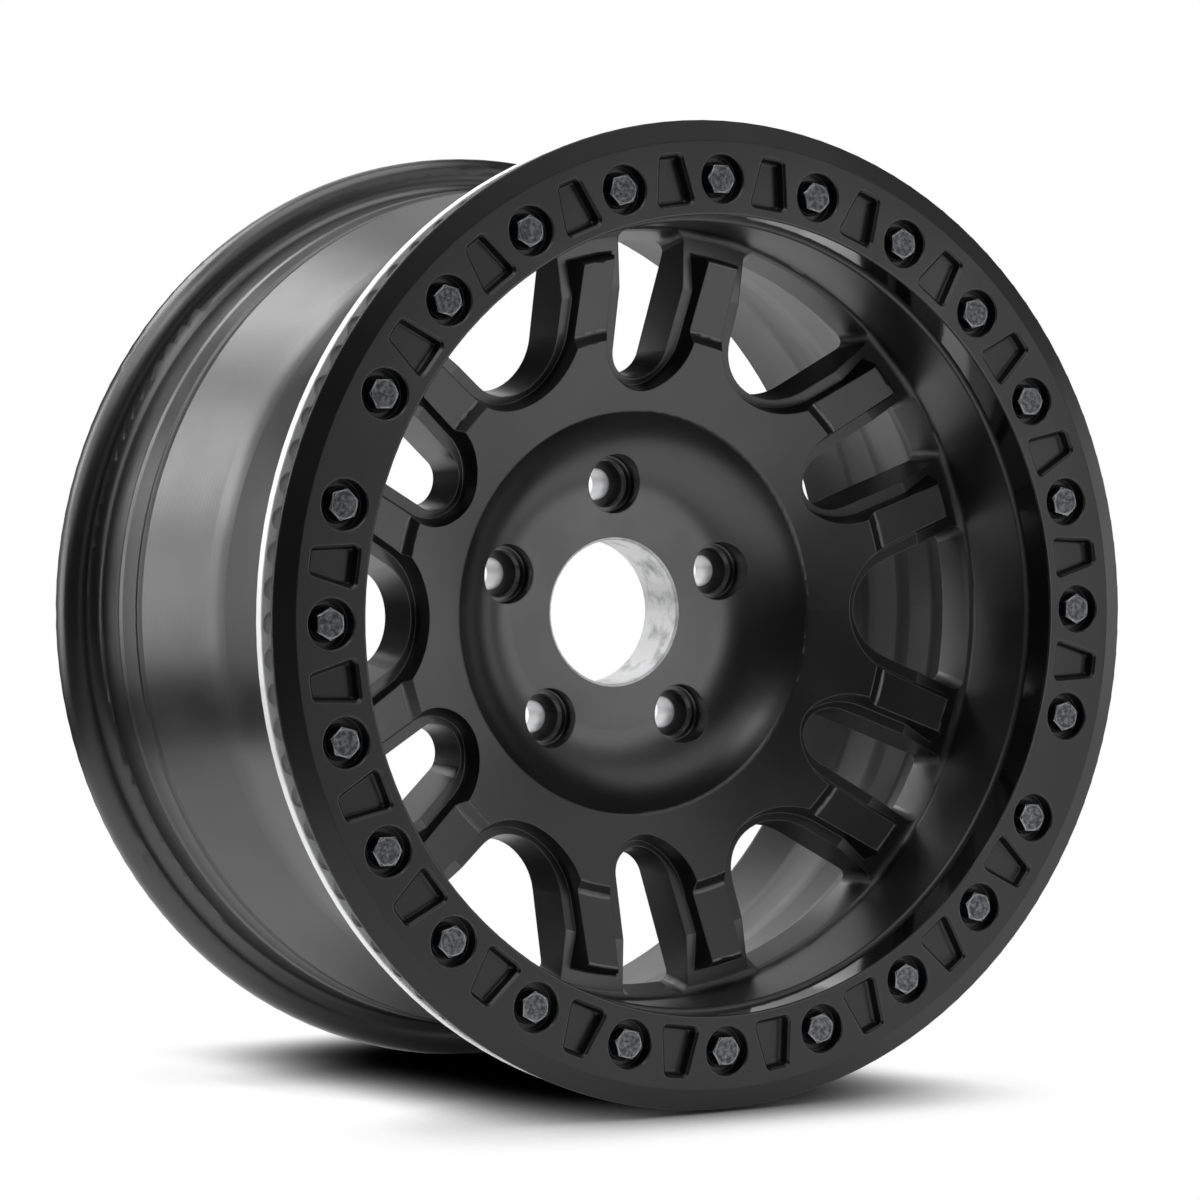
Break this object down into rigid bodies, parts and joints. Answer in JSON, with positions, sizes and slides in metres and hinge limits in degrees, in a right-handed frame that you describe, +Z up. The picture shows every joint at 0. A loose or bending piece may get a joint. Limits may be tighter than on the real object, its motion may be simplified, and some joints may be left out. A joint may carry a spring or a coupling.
{
  "type": "beadlock wheel",
  "caption": "Black cast off-road car wheel with slim paired spokes and a bolted outer clamp ring that locks the tyre's bead to the rim.",
  "frame": {"origin": "centre of the hub's mounting face, on the wheel's axis", "axes": "+Y along the wheel's axis towards the brake (inboard), -Y towards the street side with the clamp ring, +Z up, +X to the right as seen from the street side"},
  "size_m": [0.4709, 0.2555, 0.471],
  "materials": {
    "coated_casting": "satin",
    "coated_ring": "satin",
    "bolt_steel": "satin",
    "washer_steel": "satin"
  },
  "bodies": {
    "root": {"wheel": "coated_casting", "beadlock_ring": "coated_ring", "ring_bolts": "bolt_steel", "ring_washers": "washer_steel"}
  },
  "joints": []
}
